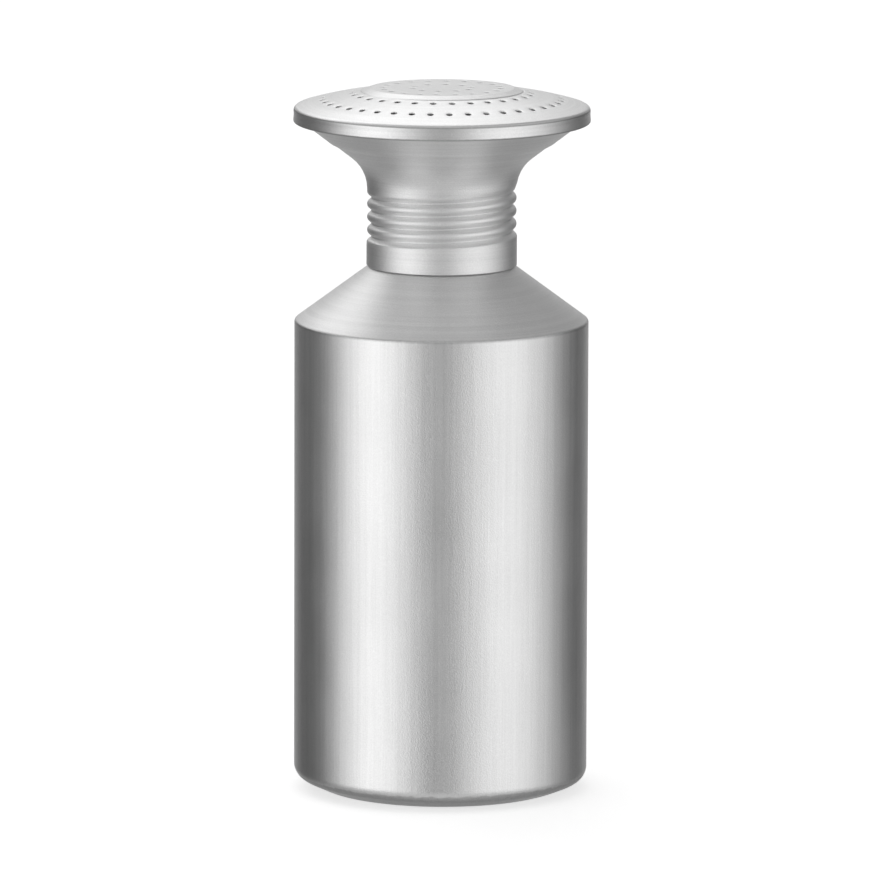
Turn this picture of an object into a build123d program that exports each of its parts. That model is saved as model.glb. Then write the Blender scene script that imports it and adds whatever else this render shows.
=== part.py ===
"""Aluminium shaker for spice and flour: a canister with a screw-on sprinkler cap.

Three pieces of drawn and spun aluminium sheet, all turned about the Z axis:
  canister         drawn body, cone shoulder and a neck with a rolled thread
  cap_funnel       skirt, matching rolled thread, throat and trumpet flare
  sprinkler_plate  perforated rose whose edge is tucked round the flare's rim

Millimetres, +Z up. The origin is the centre of the ring that the canister stands on.
"""

from build123d import *
import os
from math import ceil, cos, radians, sqrt, tan

# ---- canister ----
can_sheet = 0.9
body_radius = 40.0
body_height = 129.0  # up to the corner between wall and shoulder
heel_radius = 5.0  # of the bend between the wall and the sloping sole
sole_radius = 12.0  # of the bend between the sole and the stand
sole_angle = 25.0  # above horizontal
sole_width = 8.2  # from the wall to the corner where the sole and the stand would meet
stand_width = 5.7  # of the ring that it stands on, from that corner inwards
base_recess = 1.6  # how far the base inside the ring is pressed in
recess_slope_width = 2.4
shoulder_angle = 36.6  # above horizontal
neck_height = 21.5  # from the shoulder's upper end to the mouth
lip_height = 2.4  # plain lip above the taper that ends the threaded part
lip_taper = 1.0
neck_land_length = 3.5  # how far the wall behind the thread goes on below it

# ---- rolled thread, right-handed, as seen on the cap's outside ----
thread_pitch = 3.55
thread_turns = 3.5
thread_crest_radius = 20.2
thread_depth = 1.15
thread_root_width = 0.4
thread_crest_land = 0.7
thread_start_angle = 140.0  # from +X, counter-clockwise seen from above

# ---- the same fold on the cap's inside, and the neck's thread that it runs in ----
fold_tip_width = 1.12
fold_valley_land = 0.55
thread_clearance = 0.2  # between cap and neck, all along the thread
thread_early_start = 15.0  # degrees by which the neck's thread starts below the cap's
thread_run_past = 0.05  # how far a cutter or a fold goes on past the wall's surface

# ---- cap funnel; its heights are above the skirt's lower edge ----
cap_sheet = 1.0
skirt_proud = 0.25  # of the thread's crests
skirt_height = 6.7
skirt_step = 0.6
seat_clearance = 0.3  # between the skirt's edge and the shoulder
thread_start_height = 7.0
throat_start_height = 20.4
throat_proud = 0.35  # of the thread's crests
flare_corner_height = 26.0  # where the throat's and the flare's lines would meet
flare_blend_radius = 5.0
flare_angle = 37.6  # above horizontal

# ---- sprinkler plate ----
plate_sheet = 1.0
rim_radius = 40.4
hem_clearance = 0.06  # between the plate's hem and the flare's edge
hem_lip = 1.2  # length of the tucked edge, along the flare
plate_angle = 15.0  # fall of the outer part, below horizontal
disc_radius = 20.9
disc_foot_radius = 22.1
disc_step = 1.0

# ---- sprinkling holes: ring n has ring_holes * n holes at the radius ring_step * n ----
hole_radius = 0.9
hole_sides = 6
ring_step = 8.1
ring_holes = 10
ring_shifts = (0, 0, 0.5, 0.5)  # of the step between two holes, from a hole at the front
front_angle = -90.0

# ---- heights and radii of the canister ----
sole_corner_radius = body_radius - sole_width
sole_height = sole_width * tan(radians(sole_angle))
stand_inner_radius = sole_corner_radius - stand_width
recess_radius = stand_inner_radius - recess_slope_width
thread_root_radius = thread_crest_radius - thread_depth
neck_radius = thread_crest_radius - cap_sheet - thread_clearance
neck_root_radius = thread_root_radius - cap_sheet - thread_clearance
neck_bore_radius = neck_root_radius - can_sheet
lip_radius = neck_root_radius - thread_clearance / 2
shoulder_slope = tan(radians(shoulder_angle))
neck_foot_height = body_height + (body_radius - neck_radius) * shoulder_slope
neck_top = neck_foot_height + neck_height
neck_thread_top = neck_top - lip_height - lip_taper


def shoulder_line(radius):
    """Height of the shoulder's outside at a radius."""
    return neck_foot_height - (radius - neck_radius) * shoulder_slope


# ---- the cap stands on the shoulder ----
skirt_radius = thread_crest_radius + skirt_proud
throat_radius = thread_crest_radius + throat_proud
skirt_bottom = shoulder_line(skirt_radius - cap_sheet) + seat_clearance
thread_start = skirt_bottom + thread_start_height
flare_corner = skirt_bottom + flare_corner_height
flare_edge_radius = rim_radius - plate_sheet - hem_clearance
flare_slope = tan(radians(flare_angle))
flare_stretch = 1 / cos(radians(flare_angle))  # vertical thickness for each mm of sheet


def flare_height(radius):
    """Height of the flare's outside at a radius."""
    return flare_corner + (radius - throat_radius) * flare_slope


# ---- the plate lies on the flare's edge, and its hem's lip follows the flare's outside ----
plate_slope = tan(radians(plate_angle))
flare_edge_top = flare_height(flare_edge_radius) + cap_sheet * flare_stretch
plate_over_edge = hem_clearance + plate_sheet / cos(radians(plate_angle))
rim_top = flare_edge_top + plate_over_edge - (rim_radius - flare_edge_radius) * plate_slope
lip_drop = (hem_clearance + plate_sheet) * flare_stretch
rim_low = flare_height(rim_radius) - lip_drop
lip_end_radius = rim_radius - hem_lip * cos(radians(flare_angle))
disc_foot_height = rim_top + (rim_radius - disc_foot_radius) * plate_slope
disc_height = disc_foot_height + disc_step


def thread_half(root_radius, root_half_width, crest_radius, crest_half_width, wall_proud=0):
    """Upper half of a thread's section in the XZ plane, its flank run on through the wall."""
    slope = (crest_half_width - root_half_width) / (crest_radius - root_radius)
    run_past = wall_proud + thread_run_past
    top_radius = crest_radius + run_past
    top_half_width = crest_half_width + run_past * slope
    with BuildSketch(Plane.XZ) as section:
        with BuildLine():
            Polyline(
                (root_radius, 0),
                (root_radius, root_half_width),
                (top_radius, top_half_width),
                (top_radius, 0),
                close=True,
            )
        make_face()
    return section.sketch


def along_thread(half, turns):
    """A section carried along the thread from angle 0 and height 0, with both ends rounded.

    It runs in equal stretches of a turn or less, which join end to end.
    """
    section = half + mirror(half, about=Plane.XY)
    stretches = ceil(turns)
    stretch_turns = turns / stretches
    with BuildPart() as end:
        revolve(half, axis=Axis.X, revolution_arc=180)
    with BuildPart() as stretch:
        with BuildLine() as path:
            Helix(thread_pitch, thread_pitch * stretch_turns, thread_crest_radius)
        sweep(sections=section, path=path.line, is_frenet=True)
    with BuildPart() as run:
        for index in range(stretches):
            done = index * stretch_turns
            with Locations(Location((0, 0, thread_pitch * done), (0, 0, 360 * done))):
                add(stretch.part)
        add(end.part)
        with Locations(Location((0, 0, thread_pitch * turns), (0, 0, 360 * turns))):
            add(end.part, rotation=(180, 0, 0))
    return run.part


# ---- the cap's groove outside and fold inside, and the neck's groove for that fold ----
cap_inside_radius = thread_crest_radius - cap_sheet
fold_tip_radius = thread_root_radius - cap_sheet
fold_half_widths = (fold_tip_width / 2, (thread_pitch - fold_valley_land) / 2)
fold_slope = (fold_half_widths[1] - fold_half_widths[0]) / thread_depth
widening = thread_clearance * (sqrt(1 + fold_slope**2) - fold_slope)
early_turns = thread_early_start / 360

cap_thread_start = Location((0, 0, thread_start), (0, 0, thread_start_angle))
cap_groove = along_thread(
    thread_half(
        thread_root_radius,
        thread_root_width / 2,
        thread_crest_radius,
        (thread_pitch - thread_crest_land) / 2,
        skirt_proud,
    ),
    thread_turns,
)
cap_fold = along_thread(
    thread_half(fold_tip_radius, fold_half_widths[0], cap_inside_radius, fold_half_widths[1]),
    thread_turns,
)
neck_thread_start = Location(
    (0, 0, thread_start - thread_pitch * early_turns),
    (0, 0, thread_start_angle - thread_early_start),
)
neck_groove = along_thread(
    thread_half(
        neck_root_radius,
        fold_half_widths[0] + widening,
        neck_radius,
        fold_half_widths[1] + widening,
    ),
    (neck_top - thread_start) / thread_pitch + early_turns,
)

# ---- canister ----
with BuildPart() as canister:
    with BuildSketch(Plane.XZ):
        with BuildLine():
            FilletPolyline(
                (0, base_recess),
                (recess_radius, base_recess),
                (stand_inner_radius, 0),
                (sole_corner_radius, 0),
                (body_radius, sole_height),
                (body_radius, body_height),
                (neck_radius, neck_foot_height),
                (neck_radius, neck_thread_top),
                (lip_radius, neck_thread_top + lip_taper),
                (lip_radius, neck_top),
                radius=(0, 0, sole_radius, heel_radius, 0, 0, 0, 0),
            )
            offset(amount=can_sheet, side=Side.LEFT, kind=Kind.TANGENT)
        make_face()
    revolve(axis=Axis.Z)
    land_bottom = thread_start - neck_land_length
    neck_middle = neck_radius - can_sheet / 2
    lip_middle = lip_radius - can_sheet / 2
    with BuildSketch(Plane.XZ):
        with BuildLine():
            Polyline(
                (neck_middle, land_bottom),
                (neck_bore_radius, land_bottom + neck_middle - neck_bore_radius),
                (neck_bore_radius, neck_thread_top + lip_taper),
                (lip_middle, neck_thread_top + lip_taper),
                (neck_middle, neck_thread_top),
                close=True,
            )
        make_face()
    revolve(axis=Axis.Z)
    with Locations(neck_thread_start):
        add(neck_groove, mode=Mode.SUBTRACT)
canister.part.label = "canister"

# ---- cap funnel ----
with BuildPart() as cap_funnel:
    with BuildSketch(Plane.XZ):
        with BuildLine():
            FilletPolyline(
                (skirt_radius, skirt_bottom),
                (skirt_radius, skirt_bottom + skirt_height),
                (thread_crest_radius, skirt_bottom + skirt_height + skirt_step),
                (thread_crest_radius, skirt_bottom + throat_start_height),
                (throat_radius, flare_corner - flare_blend_radius),
                (throat_radius, flare_corner),
                (flare_edge_radius, flare_height(flare_edge_radius)),
                radius=(0, 0, 0, 0, flare_blend_radius),
            )
            offset(amount=cap_sheet, side=Side.LEFT, kind=Kind.TANGENT)
        make_face()
    revolve(axis=Axis.Z)
    with Locations(cap_thread_start):
        add(cap_fold)
        add(cap_groove, mode=Mode.SUBTRACT)
cap_funnel.part.label = "cap_funnel"

# ---- sprinkler plate ----
with BuildPart() as sprinkler_plate:
    with BuildSketch(Plane.XZ):
        with BuildLine():
            Polyline(
                (0, disc_height),
                (disc_radius, disc_height),
                (disc_foot_radius, disc_foot_height),
                (rim_radius, rim_top),
                (rim_radius, rim_low),
                (lip_end_radius, flare_height(lip_end_radius) - lip_drop),
            )
            offset(amount=plate_sheet, side=Side.RIGHT, kind=Kind.TANGENT)
        make_face()
    revolve(axis=Axis.Z)
    with BuildSketch(Plane.XY.offset(rim_low)):
        for ring, shift in enumerate(ring_shifts, start=1):
            count = ring_holes * ring
            start = front_angle + shift * 360 / count
            with PolarLocations(ring_step * ring, count, start_angle=start):
                RegularPolygon(hole_radius, hole_sides, major_radius=False)
    extrude(amount=disc_height + plate_sheet - rim_low, mode=Mode.SUBTRACT)
sprinkler_plate.part.label = "sprinkler_plate"

# ---- one file for each piece ----
os.makedirs("parts", exist_ok=True)
for piece in (canister, cap_funnel, sprinkler_plate):
    export_step(piece.part, f"parts/{piece.part.label}.step")
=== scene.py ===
"""Aluminium spice shaker with a screw-on sprinkler cap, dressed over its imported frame.

The frame holds three nodes: the canister, the cap's funnel and the cap's sprinkler plate. Each of
them is replaced by a closed shell of sheet metal that is worked out here with numpy, with its
rounded bends, its rolled thread and its punched holes, and each shell gets its own aluminium
finish. Lengths are in millimetres until a mesh is made, angles in degrees, and azimuths are
counter-clockwise from +X seen from above, unless a docstring says otherwise.
"""

from __future__ import annotations

import logging
import math
from dataclasses import dataclass, field
from enum import Enum

import bmesh
import bpy
import numpy as np
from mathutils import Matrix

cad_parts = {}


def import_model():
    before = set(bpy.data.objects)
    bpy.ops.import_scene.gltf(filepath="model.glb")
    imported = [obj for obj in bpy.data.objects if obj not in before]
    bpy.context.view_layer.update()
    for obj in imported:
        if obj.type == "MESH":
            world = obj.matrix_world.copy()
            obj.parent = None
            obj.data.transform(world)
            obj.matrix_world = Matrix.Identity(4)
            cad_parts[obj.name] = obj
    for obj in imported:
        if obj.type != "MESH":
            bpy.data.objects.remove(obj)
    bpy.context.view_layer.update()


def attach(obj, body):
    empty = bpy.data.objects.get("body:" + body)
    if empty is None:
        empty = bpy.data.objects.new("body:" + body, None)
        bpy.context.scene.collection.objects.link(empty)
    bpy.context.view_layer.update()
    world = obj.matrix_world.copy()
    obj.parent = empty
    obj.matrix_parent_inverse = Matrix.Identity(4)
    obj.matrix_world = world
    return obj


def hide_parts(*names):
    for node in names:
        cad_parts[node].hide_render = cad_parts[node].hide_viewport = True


log = logging.getLogger("shaker")

MM = 0.001  # metres in a millimetre
COLUMNS = 240  # round every shell, so that each column is 1.5 degrees wide
FRONT = -90.0  # azimuth of the front, where the columns start
ARC_STEP = 9.0  # degrees between two points of a bend
WELD = 1e-6  # metres within which two points become one
NOISE_MEAN = 0.5  # of a noise that runs from 0 to 1
RAGGED_SCALE = 350.0  # of the noise that frays a zone's borders, in waves a metre
RAGGED_DETAIL = 4.0  # octaves of the same noise


class Grain(Enum):
    """Way that the fine lines of a finish run."""

    ALONG = "along the axis, as drawing leaves them"
    ROUND = "round the axis, as spinning leaves them"


class Measure(Enum):
    """What a zone of a finish is measured along."""

    RADIUS = "By Radius"
    HEIGHT = "By Height"


# ---------------------------------------------------------------------------------- shapes


@dataclass(frozen=True)
class Patch:
    """Part of a surface, as a grid of points and the quads between them.

    Attributes:
        points: Array of n points in millimetres, n by 3.
        quads: Array of m quads, each four indices into points.
    """

    points: np.ndarray
    quads: np.ndarray

    @staticmethod
    def from_grid(grid: np.ndarray, closed: bool = False) -> Patch:
        """Makes quads between the rows and columns of a grid of points.

        Args:
            grid: Array of rows by columns by 3, or of many such grids.
            closed: Whether the last column is joined to the first.

        Returns:
            One patch with all the grids.
        """
        grids = grid.reshape(-1, *grid.shape[-3:])
        count, rows, columns, _ = grids.shape
        index = np.arange(count * rows * columns).reshape(count, rows, columns)
        right = np.roll(index, -1, axis=2)
        if not closed:
            index, right = index[:, :, :-1], right[:, :, :-1]
        corners = (index[:, :-1], right[:, :-1], right[:, 1:], index[:, 1:])
        return Patch(grids.reshape(-1, 3), np.stack(corners, axis=-1).reshape(-1, 4))


def column_azimuths() -> np.ndarray:
    """Returns the azimuth of each column, in radians."""
    return math.radians(FRONT) + np.arange(COLUMNS) * math.tau / COLUMNS


def smoothstep(value: np.ndarray, start: float, end: float) -> np.ndarray:
    """Rises from 0 at start to 1 at end along 3 t^2 - 2 t^3, or falls if end is below start."""
    share = np.clip((value - start) / (end - start), 0.0, 1.0)
    return share * share * (3.0 - 2.0 * share)


def revolved(radius: np.ndarray, height: np.ndarray) -> Patch:
    """Surface turned about the axis.

    The point of row i and column j is (radius cos a, radius sin a, height), where a is the
    azimuth of column j, so the radius may differ from column to column.

    Args:
        radius: Array of rows by columns, or of rows by 1.
        height: Array of as many rows, by 1.

    Returns:
        The closed band of quads.
    """
    azimuth = column_azimuths()[None, :]
    flat = np.broadcast_to(radius, (len(height), COLUMNS))
    across = (flat * np.cos(azimuth), flat * np.sin(azimuth))
    grid = np.stack((*across, np.broadcast_to(height, flat.shape)), axis=-1)
    return Patch.from_grid(grid, closed=True)


def straight(start: np.ndarray, end: np.ndarray, step: float) -> np.ndarray:
    """Returns evenly spaced points from start to end, a step apart at most."""
    count = max(1, math.ceil(float(np.linalg.norm(end - start)) / step))
    return np.linspace(start, end, count + 1)


def rounded_path(corners: np.ndarray, bends: list[float], steps: list[float]) -> np.ndarray:
    """Path of straight runs joined by arcs.

    The arc at a corner starts and ends radius times tan(turn / 2) away from it. Its points are
    its centre plus the first arm, turned by even shares of the turn.

    Args:
        corners: Array of n points, each a radius and a height.
        bends: Radius of the arc at each of the n - 2 inner corners.
        steps: Longest step along each of the n - 1 runs.

    Returns:
        Array of points along the path.
    """
    ways = np.diff(corners, axis=0)
    ways = ways / np.linalg.norm(ways, axis=1, keepdims=True)
    pieces = []
    start = corners[0]
    for corner, bend, way, onward, step in zip(corners[1:], bends, ways, ways[1:], steps):
        cross = float(way[0] * onward[1] - way[1] * onward[0])
        turn = math.atan2(cross, float(way @ onward))
        arc_start = corner - way * bend * abs(math.tan(turn / 2))
        pieces.append(straight(start, arc_start, step))
        side = np.array((-way[1], way[0])) * math.copysign(bend, turn)
        arm = -side
        count = max(1, math.ceil(abs(math.degrees(turn)) / ARC_STEP))
        angle = np.linspace(0.0, turn, count + 1)[:, None]
        arc = arc_start + side + arm * np.cos(angle) + np.array((-arm[1], arm[0])) * np.sin(angle)
        pieces.append(arc)
        start = arc[-1]
    pieces.append(straight(start, corners[-1], steps[-1]))
    path = np.concatenate(pieces)
    moved = np.linalg.norm(np.diff(path, axis=0), axis=1) > WELD / MM
    return path[np.concatenate(([True], moved))]


def offset_corners(corners: np.ndarray, distance: float) -> np.ndarray:
    """Moves a line of corners sideways, to its left.

    A corner moves by distance (m + n) / (1 + m . n), where m and n are the left-hand normals
    of its two runs, and an end moves along the normal of its one run.

    Args:
        corners: Array of n points.
        distance: How far the runs move.

    Returns:
        Array of the n moved points.
    """
    ways = np.diff(corners, axis=0)
    ways = ways / np.linalg.norm(ways, axis=1, keepdims=True)
    normals = np.stack((-ways[:, 1], ways[:, 0]), axis=1)
    before = np.concatenate((normals[:1], normals))
    after = np.concatenate((normals, normals[-1:]))
    spread = 1.0 + np.sum(before * after, axis=1, keepdims=True)
    return corners + distance * (before + after) / spread


def turns_left(corners: np.ndarray) -> np.ndarray:
    """Returns 1 for each inner corner that turns left and -1 for each that turns right."""
    ways = np.diff(corners, axis=0)
    return np.sign(ways[:-1, 0] * ways[1:, 1] - ways[:-1, 1] * ways[1:, 0])


@dataclass(frozen=True)
class SheetSection:
    """Section through a bent sheet, given by the corners of its two sides.

    Attributes:
        outside: Corners of the outer side, each a radius and a height.
        inside: As many corners of the inner side.
        sheet: Thickness.
        bends: Outer radius at each corner between the ends.
        edge_bend: Rounding of the sheet's edges.
        steps: Longest step along each run of the outer side.
        inner_steps: Longest step along each run of the inner side.
    """

    outside: np.ndarray
    inside: np.ndarray
    sheet: float
    bends: np.ndarray
    edge_bend: float
    steps: tuple[float, ...]
    inner_steps: tuple[float, ...]

    def outline(self, closed: bool) -> tuple[np.ndarray, np.ndarray]:
        """Path along the outer side, round the far edge and back along the inner side.

        The inner bends are the outer ones less the thickness where the sheet turns left, and
        more by it where it turns right.

        Args:
            closed: Whether the path starts and ends in the middle of a near edge, which is
                rounded too. If not, both sides start on the axis.

        Returns:
            Array of points, and for each point whether it lies on the inner side.
        """
        inner_bends = np.maximum(self.bends - turns_left(self.outside) * self.sheet, 0.0)
        middles = (self.outside + self.inside) / 2
        far = middles[-1:]
        near = middles[:1] if closed else middles[:0]
        near_bend, near_step = [self.edge_bend] * len(near), [self.sheet] * len(near)
        up = rounded_path(
            np.concatenate((near, self.outside, far)),
            [*near_bend, *self.bends, self.edge_bend],
            [*near_step, *self.steps, self.sheet],
        )
        down = rounded_path(
            np.concatenate((far, self.inside[::-1], near)),
            [self.edge_bend, *inner_bends[::-1], *near_bend],
            [self.sheet, *self.inner_steps[::-1], *near_step],
        )
        inner = np.concatenate((np.zeros(len(up), bool), np.ones(len(down), bool)))
        inner[0] = closed  # the first point is then the last one as well
        return np.concatenate((up, down)), inner


def make_piece(
    name: str, patches: list[Patch], body: str, node: str
) -> bpy.types.Object:
    """Welds patches into one closed shell and seats it in the frame.

    Args:
        name: Name of the piece.
        patches: The patches that the surface is made of, in millimetres.
        body: CAD body that the piece moves with.
        node: CAD node that the piece stands for.

    Returns:
        The new object, at the origin.
    """
    starts = np.cumsum([0] + [len(patch.points) for patch in patches[:-1]])
    points = np.concatenate([patch.points for patch in patches]) * MM
    quads = np.concatenate([patch.quads + start for patch, start in zip(patches, starts)])
    mesh = bpy.data.meshes.new(name)
    mesh.from_pydata(points, [], quads)
    shell = bmesh.new()
    shell.from_mesh(mesh)
    bmesh.ops.remove_doubles(shell, verts=shell.verts, dist=WELD)
    bmesh.ops.recalc_face_normals(shell, faces=shell.faces)
    shell.to_mesh(mesh)
    shell.free()
    mesh.shade_smooth()
    piece = bpy.data.objects.new(name, mesh)
    bpy.context.scene.collection.objects.link(piece)
    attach(piece, body)
    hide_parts(node)
    log.info("%s: %d points, %d faces", name, len(mesh.vertices), len(mesh.polygons))
    return piece


@dataclass(frozen=True)
class RolledThread:
    """Right-handed groove rolled into a sheet, which fades in and out at its ends.

    Attributes:
        pitch: Rise in one turn.
        depth: Depth of the groove below the crests.
        crest_round: Radius of the wide round crests.
        root_round: Radius of the narrow root.
        height_at_x: Height of the groove's middle above +X, where its azimuth is 0.
        window: Azimuths at which the groove starts, is deep, starts to fade and has ended.
    """

    window: tuple[float, float, float, float]
    pitch: float = 3.55
    depth: float = 1.15
    crest_round: float = 1.3
    root_round: float = 0.4
    height_at_x: float = 153.75

    def section(self, away: np.ndarray) -> np.ndarray:
        """Depth of the groove at a distance from its middle, along the axis.

        The root is an arc about (0, root_round), the crest an arc about (pitch / 2, depth -
        crest_round), both measured from the root, and the flank is their inner tangent. The
        flank's angle a solves A sin a + B cos a = the sum of both radii, where A and B are the
        distances between the two centres.

        Args:
            away: Distance from the groove's middle, from 0 to half the pitch.

        Returns:
            Depth below the crests.
        """
        half = self.pitch / 2
        crest_centre = self.depth - self.crest_round
        between = crest_centre - self.root_round
        reach = math.hypot(half, between)
        angle = math.asin((self.crest_round + self.root_round) / reach) + math.atan2(between, half)
        root_end = self.root_round * math.sin(angle)
        crest_start = half - self.crest_round * math.sin(angle)
        root = self.root_round - np.sqrt(np.maximum(self.root_round**2 - away**2, 0.0))
        flank_start = self.root_round * (1 - math.cos(angle))
        flank = flank_start + (away - root_end) * math.tan(angle)
        inside = np.maximum(self.crest_round**2 - (half - away) ** 2, 0.0)
        crest = crest_centre + np.sqrt(inside)
        above_root = np.where(away < root_end, root, np.where(away < crest_start, flank, crest))
        return self.depth - above_root

    def depth_at(self, azimuth: np.ndarray, height: np.ndarray) -> np.ndarray:
        """Depth of the groove at a place on the sheet.

        The turn that is nearest in height is found by rounding, and its azimuth, counted on
        from turn to turn, says how far the groove has faded there.

        Args:
            azimuth: Azimuths, in radians.
            height: Heights, broadcast against azimuth.

        Returns:
            Depth at each azimuth and height.
        """
        turns = (height - self.height_at_x) / self.pitch - azimuth / math.tau
        nearest = np.round(turns)
        away = np.abs(turns - nearest) * self.pitch
        total = np.degrees(azimuth) + 360.0 * nearest
        start, deep, fading, end = self.window
        share = smoothstep(total, start, deep) * smoothstep(total, end, fading)
        return self.section(away) * share


# ------------------------------------------------------------------------------- finishes


class Graph:
    """Shorthand for adding and joining nodes in one node tree."""

    def __init__(self, tree: bpy.types.NodeTree) -> None:
        """Takes the tree and leaves what is in it.

        Args:
            tree: Node tree to add to.
        """
        self.tree = tree

    def node(self, kind: str, **settings: object) -> bpy.types.Node:
        """Adds a node.

        Args:
            kind: Type name of the node.
            settings: Properties to set on it.

        Returns:
            The new node.
        """
        made = self.tree.nodes.new(kind)
        for key, value in settings.items():
            setattr(made, key, value)
        return made

    def put(self, socket: bpy.types.NodeSocket, value: object) -> None:
        """Joins value to a socket if it is a socket itself, and sets the socket to it if not."""
        if isinstance(value, bpy.types.NodeSocket):
            self.tree.links.new(value, socket)
        else:
            socket.default_value = value

    def math(self, operation: str, *values: object) -> bpy.types.NodeSocket:
        """Adds a Math node.

        Args:
            operation: Name of the operation.
            values: Its inputs, each a number or a socket.

        Returns:
            Its output socket.
        """
        made = self.node("ShaderNodeMath", operation=operation)
        for socket, value in zip(made.inputs, values):
            self.put(socket, value)
        return made.outputs[0]

    def mix(self, share: object, first: object, second: object) -> bpy.types.NodeSocket:
        """Adds a Mix node for numbers.

        Args:
            share: Number or socket, 0 for the first value and 1 for the second.
            first: Number or socket.
            second: Number or socket.

        Returns:
            Its output socket.
        """
        made = self.node("ShaderNodeMix", data_type="FLOAT")
        for label, value in (("Factor", share), ("A", first), ("B", second)):
            self.put(made.inputs[label], value)
        return made.outputs[0]

    def ramp(
        self, value: object, low: object, high: object, out: tuple[float, float] = (0.0, 1.0)
    ) -> bpy.types.NodeSocket:
        """Adds a smooth Map Range node.

        Args:
            value: Number or socket to map.
            low: Number or socket that gives the first output.
            high: Number or socket that gives the second output.
            out: The two outputs.

        Returns:
            Its output socket.
        """
        made = self.node("ShaderNodeMapRange", interpolation_type="SMOOTHSTEP")
        for socket, number in zip(made.inputs, (value, low, high, *out)):
            self.put(socket, number)
        return made.outputs[0]

    def swing(self, base: object, value: object, reach: float) -> bpy.types.NodeSocket:
        """Adds nodes that let a noise swing a value by half the reach either way.

        Args:
            base: Number or socket to swing.
            value: Socket with the noise.
            reach: How far it swings in all.

        Returns:
            Socket with the swung value.
        """
        centred = self.math("SUBTRACT", value, NOISE_MEAN)
        return self.math("MULTIPLY_ADD", centred, reach, base)

    def noise(
        self, vector: object, scale: float, detail: float, w: object = None
    ) -> bpy.types.NodeSocket:
        """Adds a Noise node.

        Args:
            vector: Socket with the coordinates.
            scale: Scale of the noise.
            detail: Octaves of detail.
            w: Fourth coordinate, if the noise has four.

        Returns:
            Its value socket.
        """
        made = self.node("ShaderNodeTexNoise", noise_dimensions="3D" if w is None else "4D")
        self.put(made.inputs["Vector"], vector)
        made.inputs["Scale"].default_value = scale
        made.inputs["Detail"].default_value = detail
        if w is not None:
            self.put(made.inputs["W"], w)
        return made.outputs[0]

    def group(
        self, tree: bpy.types.NodeTree, values: dict[str, float]
    ) -> dict[str, bpy.types.NodeSocket]:
        """Adds a group node and sets some of its inputs.

        Args:
            tree: The group.
            values: Values of its inputs, by name.

        Returns:
            Its output sockets, by name.
        """
        made = self.node("ShaderNodeGroup", node_tree=tree)
        for label, value in values.items():
            made.inputs[label].default_value = value
        return {socket.name: socket for socket in made.outputs}

    def place(self) -> tuple[bpy.types.NodeSocket, ...]:
        """Adds the object's coordinates.

        Returns:
            Sockets with the place, its x, y and z, and its distance from the axis.
        """
        place = self.node("ShaderNodeTexCoord").outputs["Object"]
        split = self.node("ShaderNodeSeparateXYZ")
        self.put(split.inputs[0], place)
        x, y, z = split.outputs
        squares = self.math("ADD", self.math("MULTIPLY", x, x), self.math("MULTIPLY", y, y))
        return place, x, y, z, self.math("SQRT", squares)


def new_group(name: str, inputs: dict[str, float], outputs: list[str]) -> tuple[Graph, dict, dict]:
    """Makes an empty shader node group.

    Args:
        name: Name of the group.
        inputs: Its number inputs, with their defaults.
        outputs: Its number outputs.

    Returns:
        The group's graph, its input sockets and its output sockets, both by name.
    """
    tree = bpy.data.node_groups.new(name, "ShaderNodeTree")
    for label, default in inputs.items():
        made = tree.interface.new_socket(label, in_out="INPUT", socket_type="NodeSocketFloat")
        made.default_value = default
    for label in outputs:
        tree.interface.new_socket(label, in_out="OUTPUT", socket_type="NodeSocketFloat")
    graph = Graph(tree)
    entry, leave = graph.node("NodeGroupInput"), graph.node("NodeGroupOutput")
    return graph, {s.name: s for s in entry.outputs}, {s.name: s for s in leave.inputs}


def grain_group(grain: Grain) -> bpy.types.NodeTree:
    """Group that puts out the fine lines that drawing or spinning leaves in the metal.

    The noise is read at a place that is stretched across the lines and squeezed along them:
    (x f, y f, z s) for lines along the axis, and (r f, z f, x s, y s) for lines round it, where
    f is the fineness, s the inverse of a streak's length, and r the distance from the axis.
    The lines are that noise with three octaves, and the streaks a plain one about four times
    as coarse.

    Args:
        grain: Way that the lines run.

    Returns:
        The group, with inputs Fineness and Shortness and outputs Lines and Streaks.
    """
    name = f"grain_{grain.name.lower()}"
    if name in bpy.data.node_groups:
        return bpy.data.node_groups[name]
    defaults = {"Fineness": 3000.0, "Shortness": 40.0}
    graph, given, made = new_group(name, defaults, ["Lines", "Streaks"])
    _, x, y, z, radius = graph.place()
    fine, short = given["Fineness"], given["Shortness"]
    joined = graph.node("ShaderNodeCombineXYZ")
    if grain is Grain.ALONG:
        parts, fourth = ((x, fine), (y, fine), (z, short)), None
    else:
        parts, fourth = ((radius, fine), (z, fine), (x, short)), graph.math("MULTIPLY", y, short)
    for socket, (value, scale) in zip(joined.inputs, parts):
        graph.put(socket, graph.math("MULTIPLY", value, scale))
    for label, scale, detail in (("Lines", 1.0, 3.0), ("Streaks", 0.23, 1.0)):
        graph.put(made[label], graph.noise(joined.outputs[0], scale, detail, fourth))
    return graph.tree


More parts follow.
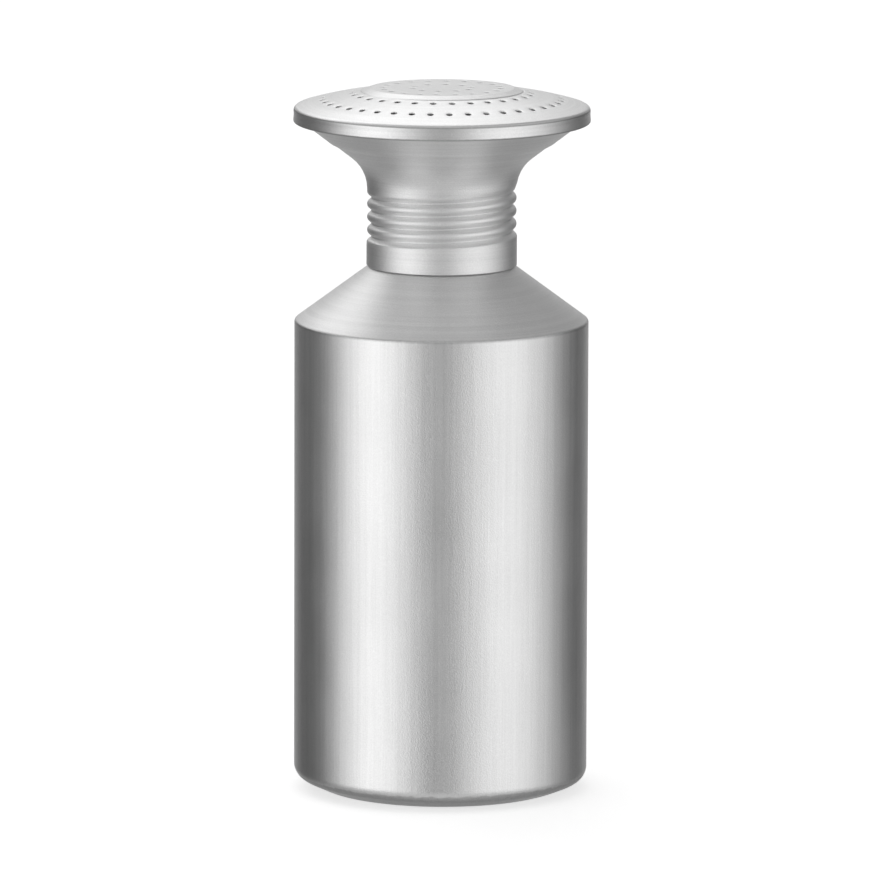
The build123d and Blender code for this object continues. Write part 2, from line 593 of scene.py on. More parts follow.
def handling_group() -> bpy.types.NodeTree:
    """Group that puts out the matt skin's grit and the marks of use: soft clouds, sparse specks.

    Clouds are a slow noise and grit is a fast one. Specks are the few peaks of a fast noise
    above a threshold.

    Returns:
        The group, with an input for the size of each and outputs Clouds, Specks and Grit.
    """
    name = "handling"
    if name in bpy.data.node_groups:
        return bpy.data.node_groups[name]
    sizes = {"Cloud Size": 0.03, "Speck Size": 0.0008, "Grit Size": 0.00032}
    graph, given, made = new_group(name, sizes, ["Clouds", "Specks", "Grit"])
    place = graph.place()[0]
    for label, size, detail, low, high in (
        ("Clouds", given["Cloud Size"], 3.0, 0.3, 0.7),
        ("Specks", given["Speck Size"], 1.0, 0.66, 0.8),
        ("Grit", given["Grit Size"], 2.0, 0.2, 0.8),
    ):
        scaled = graph.node("ShaderNodeVectorMath", operation="SCALE")
        graph.put(scaled.inputs[0], place)
        graph.put(scaled.inputs["Scale"], graph.math("DIVIDE", 1.0, size))
        graph.put(made[label], graph.ramp(graph.noise(scaled.outputs[0], 1.0, detail), low, high))
    return graph.tree


def zone_group() -> bpy.types.NodeTree:
    """Group that puts out a ring-shaped zone with ragged borders, by radius and by height.

    The distance from the axis and the height, both in millimetres, are shaken by a noise whose
    swing is Ragged. The mask is 1 up to Reach away from Middle and falls to 0 within Fade.

    Returns:
        The group, with inputs Middle, Reach, Fade and Ragged, and an output for each Measure.
    """
    name = "zone"
    if name in bpy.data.node_groups:
        return bpy.data.node_groups[name]
    defaults = {"Middle": 0.0, "Reach": 1.0, "Fade": 1.0, "Ragged": 0.0}
    graph, given, made = new_group(name, defaults, [measure.value for measure in Measure])
    place, _, _, height, radius = graph.place()
    frayed = graph.math("SUBTRACT", graph.noise(place, RAGGED_SCALE, RAGGED_DETAIL), NOISE_MEAN)
    shake = graph.math("MULTIPLY", frayed, given["Ragged"])
    end = graph.math("ADD", given["Reach"], given["Fade"])
    for measure, value in ((Measure.RADIUS, radius), (Measure.HEIGHT, height)):
        shaken = graph.math("MULTIPLY_ADD", value, 1.0 / MM, shake)
        away = graph.math("ABSOLUTE", graph.math("SUBTRACT", shaken, given["Middle"]))
        graph.put(made[measure.value], graph.ramp(away, end, given["Reach"]))
    return graph.tree


@dataclass(frozen=True)
class Zone:
    """Ring-shaped zone of a finish, in millimetres.

    Attributes:
        measure: What the zone is measured along.
        middle: Where its middle lies.
        reach: How far from the middle it is full.
        fade: How wide its borders are.
        ragged: How far its borders wander.
        tone: Grey that it adds.
        rough: Roughness that it adds.
    """

    measure: Measure
    middle: float
    reach: float
    fade: float
    ragged: float
    tone: float = 0.0
    rough: float = 0.0

    def mask(self, graph: Graph) -> bpy.types.NodeSocket:
        """Adds the nodes of the zone.

        Args:
            graph: Graph of the material.

        Returns:
            Socket with its mask.
        """
        values = {
            "Middle": self.middle,
            "Reach": self.reach,
            "Fade": self.fade,
            "Ragged": self.ragged,
        }
        return graph.group(zone_group(), values)[self.measure.value]


@dataclass(frozen=True)
class Aluminium:
    """Bare aluminium finish, spun or pressed.

    Attributes:
        name: Name of the material.
        zones: Zones that differ from the rest.
        grey: Grey value of the metal, which is neutral.
        roughness: Roughness of the plain metal.
        fineness: Lines across a metre of it.
        shortness: Inverse of a streak's length, in metres.
        line_depth: How deep the lines are cut, in metres.
        line_tone: How far the lines change the grey.
        grit_depth: How deep the grit is, in metres.
        grit_tone: How far the grit changes the grey.
        cloud_rough: How far the clouds change the roughness.
        speck_tone: How far the specks lighten the grey.
    """

    name: str
    zones: tuple[Zone, ...] = ()
    grey: float = 0.76
    roughness: float = 0.44
    fineness: float = 2400.0
    shortness: float = 40.0
    line_depth: float = 0.00001
    line_tone: float = 0.12
    grit_depth: float = 0.00003
    grit_tone: float = 0.08
    cloud_rough: float = 0.05
    speck_tone: float = 0.06

    def grain(self, graph: Graph) -> tuple[bpy.types.NodeSocket, ...]:
        """Adds the fine lines, which run round the axis.

        Args:
            graph: Graph of the material.

        Returns:
            Sockets with the lines and the streaks.
        """
        return self.grain_of(graph, Grain.ROUND)

    def grain_of(self, graph: Graph, grain: Grain) -> tuple[bpy.types.NodeSocket, ...]:
        """Adds fine lines that run one way.

        Args:
            graph: Graph of the material.
            grain: The way.

        Returns:
            Sockets with the lines and the streaks.
        """
        values = {"Fineness": self.fineness, "Shortness": self.shortness}
        made = graph.group(grain_group(grain), values)
        return made["Lines"], made["Streaks"]

    def material(self) -> bpy.types.Material:
        """Builds the material.

        Returns:
            The material, with a Principled BSDF fed by the grain, handling and zone groups.
        """
        made = bpy.data.materials.new(self.name)
        made.use_nodes = True
        graph = Graph(made.node_tree)
        metal = made.node_tree.nodes["Principled BSDF"]
        metal.inputs["Metallic"].default_value = 1.0
        lines, streaks = self.grain(graph)
        marks = graph.group(handling_group(), {})
        tone, rough = self.grey, self.roughness
        for value, reach in (
            (lines, self.line_tone),
            (streaks, self.line_tone),
            (marks["Grit"], self.grit_tone),
        ):
            tone = graph.swing(tone, value, reach)
        tone = graph.math("MULTIPLY_ADD", marks["Specks"], self.speck_tone, tone)
        for value in (marks["Clouds"], streaks):
            rough = graph.swing(rough, value, self.cloud_rough)
        for zone in self.zones:
            mask = zone.mask(graph)
            tone = graph.math("MULTIPLY_ADD", mask, zone.tone, tone)
            rough = graph.math("MULTIPLY_ADD", mask, zone.rough, rough)
        colour = graph.node("ShaderNodeCombineColor")
        for socket in colour.inputs:
            graph.put(socket, tone)
        graph.put(metal.inputs["Base Color"], colour.outputs[0])
        graph.put(metal.inputs["Roughness"], rough)
        bump = graph.node("ShaderNodeBump")
        bump.inputs["Distance"].default_value = 1.0
        relief = graph.math("MULTIPLY", marks["Grit"], self.grit_depth)
        graph.put(bump.inputs["Height"], graph.math("MULTIPLY_ADD", lines, self.line_depth, relief))
        graph.put(metal.inputs["Normal"], bump.outputs[0])
        return made


@dataclass(frozen=True)
class DrawnAluminium(Aluminium):
    """Drawn finish, whose lines run along the wall and, in one zone, round the axis.

    Attributes:
        turned: Zone where the lines run round the axis.
    """

    turned: Zone = field(kw_only=True)

    def grain(self, graph: Graph) -> tuple[bpy.types.NodeSocket, ...]:
        """Adds the fine lines, which run along the axis or, in the turned zone, round it.

        Args:
            graph: Graph of the material.

        Returns:
            Sockets with the lines and the streaks.
        """
        mask = self.turned.mask(graph)
        pairs = zip(self.grain_of(graph, Grain.ALONG), self.grain_of(graph, Grain.ROUND))
        return tuple(graph.mix(mask, *pair) for pair in pairs)


# --------------------------------------------------------------------------------- pieces


@dataclass
class Canister:
    """Drawn canister: pressed-in base, sloping sole, wall, cone shoulder and threaded neck.

    Where two runs of the outline are joined by a bend, the sizes give the corner that the runs
    would make without it. The steps are the longest ones along each run, in order.
    """

    sheet: float = 0.9  # thickness
    base_recess: float = 1.6  # how far the base is pressed in
    recess_radius: float = 23.7  # outer end of the pressed-in base
    stand_inner_radius: float = 26.1  # the ring that the canister stands on
    sole_corner_radius: float = 31.8
    sole_height: float = 3.6  # where the sloping sole meets the wall
    body_radius: float = 40.0
    body_height: float = 129.0  # where the wall meets the shoulder
    neck_radius: float = 19.0
    neck_foot: float = 144.596  # where the shoulder meets the neck
    neck_fine: float = 147.5  # where the fine rows for the thread start
    thread_top: float = 162.696
    lip_radius: float = 17.75
    lip_taper: float = 1.0  # height of the cone between the thread and the lip
    mouth: float = 166.096
    recess_bend: float = 1.2
    sole_bend: float = 12.0
    heel_bend: float = 4.0
    shoulder_bend: float = 0.9
    neck_bend: float = 0.7
    lip_bend: float = 0.5
    edge_bend: float = 0.3
    steps: tuple[float, ...] = (3.0, 0.6, 1.5, 1.5, 6.0, 2.0, 1.0, 0.15, 0.15, 0.4)
    inner_steps: tuple[float, ...] = (3.0, 0.6, 1.5, 1.5, 6.0, 2.0, 1.0, 0.2, 0.2, 0.4)
    uneven: float = 0.3  # how much lower the heel hangs on one side
    uneven_start: float = 2.0  # how far inside the sole's corner this starts
    uneven_full: float = 3.0  # how far inside the wall it is full
    uneven_top: float = 4.0  # height at which it ends, in sole heights
    heel_shade_height: float = 4.15  # how far up the painted shade on the heel reaches
    thread: RolledThread = RolledThread(window=(-290.0, -225.0, 1500.0, 1501.0))

    def finish(self) -> Aluminium:
        """Drawn finish, with painted shade at the heel and the shoulder's corner, and spun matt
        above.

        Returns:
            The finish.
        """
        # Painted shade: the heel is darkened where it reflects the dark floor and its contact
        # shade; it is made rougher too.
        heel_shade = Zone(
            Measure.HEIGHT,
            middle=0.0,
            reach=self.heel_shade_height,
            fade=0.6,
            ragged=1.2,
            tone=-0.24,
            rough=0.1,
        )
        # Painted shade: a dark line at the shoulder's corner, where the bend reflects the dark
        # room.
        corner = Zone(
            Measure.HEIGHT,
            middle=self.body_height - 0.1,
            reach=0.2,
            fade=0.4,
            ragged=0.2,
            tone=-0.14,
        )
        spun = Zone(Measure.HEIGHT, middle=150.0, reach=20.7, fade=0.4, ragged=0.2, rough=0.1)
        return DrawnAluminium(
            "drawn_aluminium_skin",
            (heel_shade, corner, spun),
            grey=0.775,
            roughness=0.32,
            fineness=3000.0,
            turned=spun,
        )

    def profile(self) -> tuple[np.ndarray, np.ndarray]:
        """Outline of the sheet, from the middle of the base out, up, over the lip and back.

        Returns:
            Array of points, and for each point whether it lies on the inner side.
        """
        outside = np.array(
            (
                (0.0, self.base_recess),
                (self.recess_radius, self.base_recess),
                (self.stand_inner_radius, 0.0),
                (self.sole_corner_radius, 0.0),
                (self.body_radius, self.sole_height),
                (self.body_radius, self.body_height),
                (self.neck_radius, self.neck_foot),
                (self.neck_radius, self.neck_fine),
                (self.neck_radius, self.thread_top),
                (self.lip_radius, self.thread_top + self.lip_taper),
                (self.lip_radius, self.mouth),
            )
        )
        inside = offset_corners(outside, self.sheet)
        inside[-1, 1] = self.mouth
        bends = np.array(
            (
                self.recess_bend,
                self.recess_bend,
                self.sole_bend,
                self.heel_bend,
                self.shoulder_bend,
                self.neck_bend,
                0.0,
                self.lip_bend,
                self.lip_bend,
            )
        )
        section = SheetSection(
            outside, inside, self.sheet, bends, self.edge_bend, self.steps, self.inner_steps
        )
        return section.outline(closed=False)

    def patches(self) -> list[Patch]:
        """Turns the outline about the axis and rolls the thread into the neck.

        The radius is the smaller of the outline's and of the neck's less the groove's depth,
        and on the inner side the sheet's thickness is taken off as well. The heel hangs a
        little lower on one side, by its unevenness times the cosine of the azimuth, which
        fades out towards the standing ring and up the wall.

        Returns:
            The shell's one patch.
        """
        path, inner = self.profile()
        out, height = path[:, :1], path[:, 1:]
        azimuth = column_azimuths()[None, :]
        neck = self.neck_radius - inner[:, None] * self.sheet
        rolled = neck - self.thread.depth_at(azimuth, height)
        radius = np.where(height > self.neck_foot, np.minimum(out, rolled), out)
        start = self.sole_corner_radius - self.uneven_start
        heel = smoothstep(out, start, self.body_radius - self.uneven_full)
        heel = heel * smoothstep(height, self.uneven_top * self.sole_height, self.sole_height)
        return [revolved(radius, height - self.uneven * np.cos(azimuth) * heel)]

    def build(self) -> bpy.types.Object:
        """Makes the piece and dresses it.

        Returns:
            The canister's shell.
        """
        patches = self.patches()
        piece = make_piece("canister_shell", patches, "canister", "canister")
        piece.data.materials.append(self.finish().material())
        return piece


@dataclass
class CapFunnel:
    """Spun lower sheet of the cap: skirt, rolled thread, throat and trumpet flare.

    The steps are the longest ones along each run of the outline, in order.
    """

    sheet: float = 1.0  # thickness
    skirt_bottom: float = 144.562  # the skirt's inner bottom edge
    skirt_drop: float = 0.75  # how much lower its outer edge is, along the shoulder's slope
    skirt_top: float = 151.3
    skirt_proud: float = 0.15  # how far the skirt stands out from the thread's crests
    crest_radius: float = 20.3
    fine_from: float = 150.6  # where the fine rows for the thread start
    thread_top: float = 164.4
    thread_end: float = 168.0  # above this nothing is rolled in
    throat_radius: float = 20.4
    flare_corner: float = 170.446  # where the throat would meet the flare without a bend
    flare_edge_radius: float = 39.34
    flare_edge: float = 185.03
    ledge: float = 0.42  # step down of the flare's outside, under the plate's hem
    ledge_start: float = 28.4
    ledge_end: float = 30.8
    ring_depth: float = 0.012  # of the faint spun rings past the ledge
    ring_spacing: float = 1.9
    edge_bend: float = 0.3
    throat_bend: float = 12.0
    flare_bend: float = 11.0
    steps: tuple[float, ...] = (1.2, 0.15, 0.6, 0.35)
    inner_steps: tuple[float, ...] = (1.2, 0.2, 0.6, 1.0)
    step_under: float = 1.25  # from the first groove's middle down to the skirt's step
    step_back: tuple[float, float] = (230.0, 330.0)  # degrees along it, where it comes down
    step_fade: tuple[float, float] = (0.35, -0.25)  # heights from it, where the skirt stands out
    thread: RolledThread = RolledThread(window=(-260.0, -200.0, 1080.0, 1200.0))

    def finish(self) -> Aluminium:
        """Returns the spun finish, which is the same all over."""
        return Aluminium("spun_aluminium_skin", grey=0.81, roughness=0.42)

    def profile(self) -> tuple[np.ndarray, np.ndarray]:
        """Outline of the sheet, from the middle of the skirt's edge out, up and back inside.

        Returns:
            Array of points, and for each point whether it lies on the inner side.
        """
        outside = np.array(
            (
                (self.crest_radius, self.skirt_bottom - self.skirt_drop),
                (self.crest_radius, self.fine_from),
                (self.crest_radius, self.thread_top),
                (self.throat_radius, self.flare_corner),
                (self.flare_edge_radius, self.flare_edge),
            )
        )
        inside = offset_corners(outside, self.sheet)
        inside[0, 1] = self.skirt_bottom
        bends = np.array((0.0, self.throat_bend, self.flare_bend))
        section = SheetSection(
            outside, inside, self.sheet, bends, self.edge_bend, self.steps, self.inner_steps
        )
        return section.outline(closed=True)

    def step_height(self, azimuth: np.ndarray) -> np.ndarray:
        """Height at which the skirt ends, which follows the first groove round the front.

        It is a fixed distance under the groove's middle, from where the groove starts, and
        comes back down to the skirt's plain top behind.

        Args:
            azimuth: Azimuths, in radians.

        Returns:
            Height for each azimuth.
        """
        start = math.radians(self.thread.window[1])
        along = np.mod(azimuth - start, math.tau)
        first = self.thread.height_at_x + self.thread.pitch * (along + start) / math.tau
        under = np.maximum(first - self.step_under, self.skirt_top)
        back = smoothstep(np.degrees(along), *self.step_back)
        return under + (self.skirt_top - under) * back

    def patches(self) -> list[Patch]:
        """Turns the outline about the axis, rolls the thread in and leaves the skirt proud.

        The radius is the outline's, less the groove's depth, plus the skirt's step, which
        falls smoothly within a fraction of a millimetre about its height. The flare's outside
        drops by the ledge, and past it carries the low cosine waves of its spun rings.

        Returns:
            The shell's one patch.
        """
        path, inner = self.profile()
        out, height = path[:, :1], path[:, 1:]
        azimuth = column_azimuths()[None, :]
        above = height - self.step_height(azimuth)
        proud = self.skirt_proud * smoothstep(above, *self.step_fade) * ~inner[:, None]
        rolled = proud - self.thread.depth_at(azimuth, height)
        radius = out + np.where(height < self.thread_end, rolled, 0.0)
        past = smoothstep(out, self.ledge_start, self.ledge_end)
        waves = np.cos((out - self.ledge_end) * math.tau / self.ring_spacing)
        drop = (self.ledge + self.ring_depth * waves) * past * ~inner[:, None]
        return [revolved(radius, height - drop)]

    def build(self) -> bpy.types.Object:
        """Makes the piece and dresses it.

        Returns:
            The funnel's shell.
        """
        patches = self.patches()
        piece = make_piece("cap_funnel_shell", patches, "cap_screw", "cap_funnel")
        piece.data.materials.append(self.finish().material())
        return piece


@dataclass
class SprinklerPlate:
    """Pressed upper sheet of the cap: raised disc, falling rose with its holes, and tucked rim.

    Rings of holes are counted from the middle, from 1.
    """

    sheet: float = 1.0  # thickness
    rim_radius: float = 40.4
    rim_top: float = 187.35
    rim_low: float = 183.35
    fall: float = 14.3  # slope of the rose, in degrees
    crown: float = 0.3  # how far the rose bulges
    disc_height: float = 193.009
    disc_dome: float = 0.05  # how far the disc's flat falls to its edge
    disc_flat: float = 19.6  # radius of the flat
    disc_foot: float = 22.1  # radius where the disc meets the rose
    disc_step: float = 0.93  # height of the disc's edge
    disc_power: float = 1.0  # 1 for a straight edge, more for a hollow one
    foot_blend: float = 0.03  # softness of the corner at the foot
    crease: float = 0.14  # depth of the line pressed in at the foot
    crease_width: float = 0.2
    lean: float = 0.8  # how far the disc leans back, in degrees
    lean_end: float = 1.0  # how far inside the rim the lean ends
    hole_radius: float = 0.84
    hole_round: float = 0.1  # radius of a hole's rounded edge
    round_points: int = 4  # points across it
    dimple: float = 0.1  # how far the sheet is pressed in round a hole
    dimple_reach: float = 0.5
    ring_holes: int = 10  # holes in the first ring, and how many more in each next one
    ring_radii: tuple[float, ...] = (7.95, 16.0, 24.3, 32.4)
    ring_shifts: tuple[float, ...] = (-0.2, -0.25, 0.53, 0.39)  # from the front, in cells
    ring_bands: tuple[tuple[float, float], ...] = (  # inner and outer radius of the cells
        (4.0, 11.9),
        (11.9, 17.3),
        (22.5, 28.35),
        (28.35, 36.45),
    )
    side_steps: int = 6  # quads along a cell's side
    cell_shares: tuple[float, ...] = (1.0, 0.6, 0.3, 0.12)  # rows from its border to its hole
    middle_step: float = 1.0  # between rows inside the first ring
    foot_step: float = 0.12  # between rows about the disc's foot
    rose_step: float = 0.5  # between rows outside the last ring
    rim_lead: float = 2.5  # how far inside the rim the bent outline starts
    waist: float = 0.18  # how far the rim is drawn in at mid-height
    waist_rise: float = 0.25
    hook_radius: float = 39.0  # the rim's tip, tucked under the flare's edge
    hook_top: float = 184.2
    hem_inner: float = 39.4
    hem_from: float = 184.52
    hem_top: float = 186.4
    rim_bend: float = 1.3
    waist_bend: float = 1.2
    low_bend: float = 0.5
    hook_bend: float = 0.3
    tip_bend: float = 0.05
    hem_bend: float = 0.1
    rim_steps: tuple[float, ...] = (0.5, 0.3, 0.3, 0.3, 0.3, 0.3, 0.6, 0.5)

    def finish(self) -> Aluminium:
        """Pressed finish, with painted shade lines along the rim, at its hem and at the disc's
        foot.

        Returns:
            The finish.
        """
        # Painted shade: a dark line under the rim's top bend, where it reflects the dark room.
        edge = Zone(
            Measure.HEIGHT,
            middle=self.rim_top - 0.45,
            reach=0.05,
            fade=0.25,
            ragged=0.15,
            tone=-0.3,
            rough=0.05,
        )
        # Painted shadow: a dark line at the hem's bottom, where the gap over the flare is in
        # shadow.
        hem = Zone(
            Measure.HEIGHT,
            middle=self.rim_low + 0.05,
            reach=0.25,
            fade=0.35,
            ragged=0.3,
            tone=-0.3,
            rough=0.05,
        )
        # Painted shade: darkens the pressed crease at the disc's foot.
        foot = Zone(
            Measure.RADIUS, middle=self.disc_foot, reach=0.05, fade=0.2, ragged=0.1, tone=-0.1
        )
        return Aluminium("pressed_aluminium_skin", (edge, hem, foot), grey=0.785, roughness=0.32)

    def top(self, radius: np.ndarray) -> np.ndarray:
        """Height of the plate's upper face at a radius.

        The disc falls with the square of the radius, by its dome over its flat, and past that
        by its step times s to a power, where s runs from 0 at the end of the flat to 1 at its
        foot. The rose falls in a straight line with a low sine crown. The higher of the two is
        taken, softly: their mean plus half the root of their squared difference and a small
        square. A narrow bell-shaped crease is pressed in at the foot.

        Args:
            radius: Distances from the axis.

        Returns:
            Height at each distance.
        """
        share = np.clip(radius - self.disc_flat, 0.0, None) / (self.disc_foot - self.disc_flat)
        dome = self.disc_dome * (radius / self.disc_flat) ** 2
        disc = self.disc_height - dome - self.disc_step * share**self.disc_power
        out = (radius - self.disc_foot) / (self.rim_radius - self.disc_foot)
        slope = math.tan(math.radians(self.fall))
        rose = self.rim_top + (self.rim_radius - np.maximum(radius, self.disc_foot)) * slope
        rose = rose + self.crown * np.sin(np.pi * np.clip(out, 0.0, 1.0))
        soft = np.sqrt((disc - rose) ** 2 + self.foot_blend**2) - self.foot_blend
        crease = self.crease * np.exp(-(((radius - self.disc_foot) / self.crease_width) ** 2))
        return (disc + rose + soft) / 2 - crease

    def cell_border(self, ring: int) -> np.ndarray:
        """Border of one of a ring's cells, as its hole's centre sees it, with +X outwards.

        It is bounded by two radii and two azimuths. These lie on whole columns, so that the
        cell meets its neighbours point by point, and the hole stands a part of a column off
        the cell's middle.

        Args:
            ring: Number of the ring.

        Returns:
            Array of points, each an x and a y, in order round the cell.
        """
        columns = COLUMNS // (self.ring_holes * ring)
        half = math.pi / (self.ring_holes * ring)
        shift = self.ring_shifts[ring - 1] * columns
        lag = (round(shift) - shift) * math.tau / COLUMNS
        inner, outer = self.ring_bands[ring - 1]
        arc = np.linspace(-half, half, columns + 1)[:-1]
        side = np.linspace(inner, outer, self.side_steps + 1)[:-1]
        runs = (
            (np.full_like(arc, inner), arc),
            (side, np.full_like(side, half)),
            (np.full_like(arc, outer), -arc),
            (inner + outer - side, np.full_like(side, -half)),
        )
        radii, angles = np.concatenate(runs, axis=1)
        border = (radii * np.cos(angles + lag), radii * np.sin(angles + lag))
        return np.stack(border, axis=-1) - (self.ring_radii[ring - 1], 0.0)

    def holes(self, ring: int) -> Patch:
        """One ring of cells, each of them a piece of the plate with a hole through it.

        A cell's rows run from its border in to the hole's rounded edge, down through the sheet
        and out again below. A row's point is the circle's point in the direction of the
        border's point, moved towards it by a share that falls from 1 to 0.

        Args:
            ring: Number of the ring.

        Returns:
            The patch with all the ring's cells.
        """
        border = self.cell_border(ring)
        way = border / np.linalg.norm(border, axis=1, keepdims=True)
        turn = np.linspace(np.pi / 2, 0.0, self.round_points)
        rounding = self.hole_round * (1.0 - np.cos(turn))
        sink = self.hole_round * (1.0 - np.sin(turn))
        circle = way * (self.hole_radius + self.hole_round)
        rows = [circle * (1 - share) + border * share for share in self.cell_shares]
        rows += [way * (self.hole_radius + out) for out in rounding]
        across = np.stack(rows)
        reach = np.linalg.norm(across, axis=-1) - self.hole_radius
        pressed = self.dimple * np.exp(-((reach / self.dimple_reach) ** 2))
        pressed[0] = 0.0  # the cell's border stays in the plate's face
        pressed[len(self.cell_shares) :] += sink[:, None]
        across = across + (self.ring_radii[ring - 1], 0.0)
        from_axis = np.linalg.norm(across, axis=-1)
        below = [-1, 2, 0]  # the rows that the lower face is made of
        upper = self.top(from_axis) - pressed
        lower = self.top(from_axis[below]) - self.sheet
        x, y = np.moveaxis(np.concatenate((across, across[below])), -1, 0)
        z = np.concatenate((upper, lower))
        count = self.ring_holes * ring
        places = self.ring_shifts[ring - 1] + np.arange(count)
        azimuth = (math.radians(FRONT) + places * math.tau / count)[:, None, None]
        cos, sin = np.cos(azimuth), np.sin(azimuth)
        turned = np.broadcast_arrays(x * cos - y * sin, x * sin + y * cos, z)
        return Patch.from_grid(np.stack(turned, axis=-1), closed=True)

    def plain_bands(self) -> list[Patch]:
        """The turned zones without holes: the middle, and the disc's edge, above and below.

        Returns:
            Two patches for each zone.
        """
        first, second, third, _ = self.ring_bands
        patches = []
        for start, end, step in (
            (0.0, first[0], self.middle_step),
            (second[1], third[0], self.foot_step),
        ):
            radius = straight(np.array((start,)), np.array((end,)), step)
            for depth in (0.0, self.sheet):
                patches.append(revolved(radius, self.top(radius) - depth))
        return patches

    def rim(self) -> Patch:
        """The zone outside the holes, which turns down, waists a little and is tucked under.

        Returns:
            The turned patch, from the upper face round the hem to the lower face.
        """
        ends = (self.ring_bands[-1][1], self.rim_radius - self.rim_lead)
        radius = straight(np.array(ends[:1]), np.array(ends[1:]), self.rose_step)[:, 0]
        inner = radius[-1]
        above = float(self.top(inner))
        middle = (self.rim_top + self.rim_low) / 2
        corners = np.array(
            (
                (inner, above),
                (self.rim_radius, self.rim_top),
                (self.rim_radius - self.waist, middle + self.waist_rise),
                (self.rim_radius, self.rim_low),
                (self.hook_radius, self.rim_low),
                (self.hook_radius, self.hook_top),
                (self.hem_inner, self.hem_from),
                (self.hem_inner, self.hem_top),
                (inner, above - self.sheet),
            )
        )
        bends = [
            self.rim_bend,
            self.waist_bend,
            self.low_bend,
            self.hook_bend,
            self.tip_bend,
            self.hem_bend,
            self.hem_bend,
        ]
        hem = rounded_path(corners, bends, list(self.rim_steps))
        upper = np.stack((radius[:-1], self.top(radius[:-1])), axis=1)
        lower = upper[::-1] - (0.0, self.sheet)
        path = np.concatenate((upper, hem, lower))
        return revolved(path[:, :1], path[:, 1:])

    def leaned(self, patch: Patch) -> Patch:
        """Tips the disc and the inner rose back a little, as they were pressed.

        A point sinks by (its y + the foot's radius) times the lean's tangent, so that the foot
        stays where it is in front. This fades out from the foot to the rim.

        Args:
            patch: A patch of the plate.

        Returns:
            The patch with its points moved.
        """
        x, y, z = patch.points.T
        share = smoothstep(np.hypot(x, y), self.rim_radius - self.lean_end, self.disc_foot)
        sink = (y + self.disc_foot) * math.tan(math.radians(self.lean)) * share
        return Patch(np.stack((x, y, z - sink), axis=1), patch.quads)

    def patches(self) -> list[Patch]:
        """Returns the plate's patches: its rings of holes, its plain zones and its rim."""
        rings = [self.holes(ring + 1) for ring in range(len(self.ring_shifts))]
        return [self.leaned(patch) for patch in (*rings, *self.plain_bands(), self.rim())]

    def build(self) -> bpy.types.Object:
        """Makes the piece and dresses it.

        Returns:
            The plate's shell.
        """
        name, slot = "sprinkler_plate_shell", "pressed_aluminium"
        piece = make_piece(name, self.patches(), "cap_lift", "sprinkler_plate")
        piece.data.materials.append(self.finish().material())
        return piece


# --------------------------------------------------------------------------------- studio


@dataclass(frozen=True)
class Softbox:
    """Soft window of light in the sky round the object.

    Directions are degrees: azimuths to the right of the camera's side, and elevations above
    the horizon.

    Attributes:
        middle: Azimuth that the edges are measured from.
        sides: Azimuths from the middle at which it starts, is full, starts to fall and ends.
        heights: Elevations at which it starts, is full, starts to fall and ends.
        level: Light that it adds, or takes away as a black flag if it is negative.
    """

    middle: float
    sides: tuple[float, float, float, float]
    heights: tuple[float, float, float, float]
    level: float

    def light(self, graph: Graph, azimuth: object, elevation: object) -> bpy.types.NodeSocket:
        """Adds the nodes of the window.

        Args:
            graph: Graph of the world.
            azimuth: Socket with the azimuth.
            elevation: Socket with the elevation.

        Returns:
            Socket with the light that it adds.
        """
        away = graph.math("WRAP", graph.math("SUBTRACT", azimuth, self.middle), 180.0, -180.0)
        shares = [
            graph.ramp(value, *edges)
            for value, edges in (
                (away, self.sides[:2]),
                (away, self.sides[:1:-1]),
                (elevation, self.heights[:2]),
                (elevation, self.heights[:1:-1]),
            )
        ]
        both = graph.math("MULTIPLY", shares[0], shares[1])
        both = graph.math("MULTIPLY", both, graph.math("MULTIPLY", shares[2], shares[3]))
        return graph.math("MULTIPLY", both, self.level)


LOW = (-92.0, -91.0, -40.0, -20.0)  # elevations of the ground's light
BELT = (-40.0, -20.0, 15.0, 35.0)  # elevations of the light about the horizon
HIGH = (15.0, 35.0, 50.0, 70.0)  # elevations of the light over the horizon


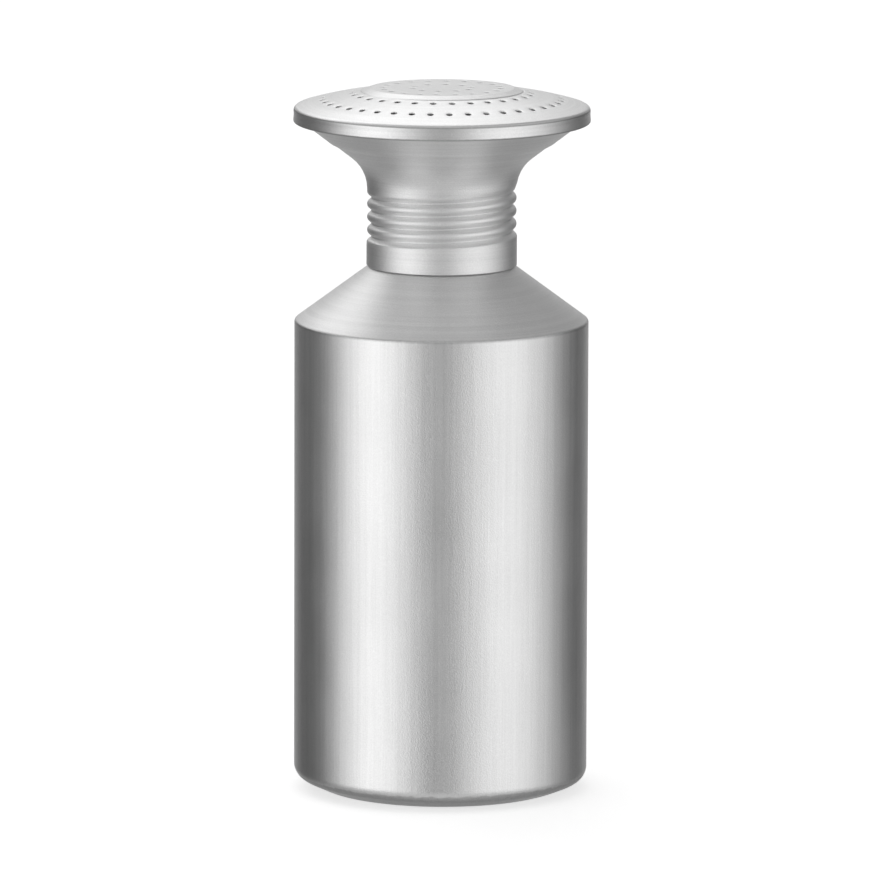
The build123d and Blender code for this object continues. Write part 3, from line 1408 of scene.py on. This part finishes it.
@dataclass
class Studio:
    """Plain pale room with soft light, the floor and the camera."""

    dim: float = 0.1  # light from everywhere
    overhead: float = 0.45  # light that the upper sky adds
    ground: float = 0.22  # light that the ground adds
    softboxes: tuple[Softbox, ...] = (
        Softbox(-56.0, (-52.0, -4.0, 4.0, 64.0), BELT, 1.25),  # front left
        Softbox(49.0, (-57.0, -7.0, 7.0, 79.0), BELT, 1.03),  # front right
        Softbox(180.0, (-42.0, -1.0, 1.0, 38.0), BELT, 0.58),  # behind
        Softbox(-170.0, (-38.0, -12.0, 20.0, 84.0), HIGH, 0.88),  # behind, higher up
        Softbox(-137.0, (-12.0, -4.0, 6.0, 16.0), (32.0, 42.0, 50.0, 58.0), 0.25),  # its core
        Softbox(142.0, (-30.0, -12.0, 12.0, 28.0), (18.0, 36.0, 60.0, 78.0), -0.26),  # flag
        Softbox(0.0, (-105.0, -50.0, 50.0, 105.0), LOW, 0.26),  # pale ground in front
    )
    floor_radius: float = 4.0  # metres
    floor_glow: float = 0.56
    floor_grey: float = 0.8
    distance: float = 3.0  # metres from the camera to the point that it looks at
    elevation: float = 9.4  # degrees that the camera looks down
    look_height: float = 95.4
    look_side: float = 0.1
    roll: float = 0.17  # degrees
    lens: float = 449.0
    near: float = 0.1  # metres, where the camera starts to see
    far: float = 20.0  # metres, where it ends

    def world(self) -> None:
        """Makes the sky: dim sides, softer top and ground, and the softboxes.

        The camera itself sees plain white. Metal sees the sky.
        """
        world = bpy.data.worlds.new("studio")
        bpy.context.scene.world = world
        world.use_nodes = True
        graph = Graph(world.node_tree)
        background = world.node_tree.nodes["Background"]
        split = graph.node("ShaderNodeSeparateXYZ")
        graph.put(split.inputs[0], graph.node("ShaderNodeTexCoord").outputs["Generated"])
        x, y, z = split.outputs
        azimuth = graph.math("DEGREES", graph.math("ARCTAN2", x, graph.math("MULTIPLY", y, -1.0)))
        elevation = graph.math("DEGREES", graph.math("ARCSINE", z))
        light = graph.math("ADD", self.dim, graph.ramp(elevation, *HIGH[:2], (0.0, self.overhead)))
        light = graph.math("ADD", light, graph.ramp(elevation, *LOW[:1:-1], (0.0, self.ground)))
        for box in self.softboxes:
            light = graph.math("ADD", light, box.light(graph, azimuth, elevation))
        seen = graph.node("ShaderNodeLightPath").outputs["Is Camera Ray"]
        shown = graph.mix(seen, light, 1.0)
        colour = graph.node("ShaderNodeCombineColor")
        for socket in colour.inputs:
            graph.put(socket, shown)
        graph.put(background.inputs["Color"], colour.outputs[0])

    def floor(self) -> None:
        """Makes the floor, which looks white to the camera and keeps the object's shadow.

        It is see-through from below, and casts nothing on the object.
        """
        azimuth = column_azimuths()
        ring = np.stack((np.cos(azimuth), np.sin(azimuth), np.zeros(COLUMNS)), axis=1)
        mesh = bpy.data.meshes.new("floor")
        mesh.from_pydata(ring * self.floor_radius, [], [list(range(COLUMNS))])
        floor = bpy.data.objects.new("floor", mesh)
        bpy.context.scene.collection.objects.link(floor)
        floor.visible_glossy = False
        floor.visible_diffuse = False
        floor.visible_shadow = False
        made = bpy.data.materials.new("pale_floor")
        made.use_nodes = True
        made.node_tree.nodes.clear()
        graph = Graph(made.node_tree)
        matt = graph.node("ShaderNodeBsdfDiffuse")
        matt.inputs["Color"].default_value = (self.floor_grey,) * 3 + (1.0,)
        glow = graph.node("ShaderNodeEmission")
        glow.inputs["Strength"].default_value = self.floor_glow
        both = graph.node("ShaderNodeAddShader")
        graph.put(both.inputs[0], matt.outputs[0])
        graph.put(both.inputs[1], glow.outputs[0])
        mixed = graph.node("ShaderNodeMixShader")
        graph.put(mixed.inputs[0], graph.node("ShaderNodeNewGeometry").outputs["Backfacing"])
        graph.put(mixed.inputs[1], both.outputs[0])
        graph.put(mixed.inputs[2], graph.node("ShaderNodeBsdfTransparent").outputs[0])
        graph.put(graph.node("ShaderNodeOutputMaterial").inputs[0], mixed.outputs[0])
        mesh.materials.append(made)

    def camera(self) -> None:
        """Makes the camera, in front of the object and a little above it."""
        lens = bpy.data.cameras.new("camera")
        lens.lens = self.lens
        lens.clip_start, lens.clip_end = self.near, self.far
        camera = bpy.data.objects.new("camera", lens)
        bpy.context.scene.collection.objects.link(camera)
        rise = math.radians(self.elevation)
        side, height = self.look_side * MM, self.look_height * MM
        camera.location = (
            side,
            -self.distance * math.cos(rise),
            height + self.distance * math.sin(rise),
        )
        camera.rotation_mode = "ZYX"
        camera.rotation_euler = (math.pi / 2 - rise, 0.0, math.radians(self.roll))
        bpy.context.scene.camera = camera

    def build(self) -> None:
        """Makes the sky, the floor and the camera, and sets the plain view transform."""
        bpy.context.scene.view_settings.view_transform = "Standard"
        self.world()
        self.floor()
        self.camera()


def main() -> None:
    """Loads the frame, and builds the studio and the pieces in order."""
    logging.basicConfig(level=logging.INFO, format="%(message)s")
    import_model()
    Studio().build()
    for part in (Canister(), CapFunnel(), SprinklerPlate()):
        piece = part.build()


if __name__ == "__main__":
    main()
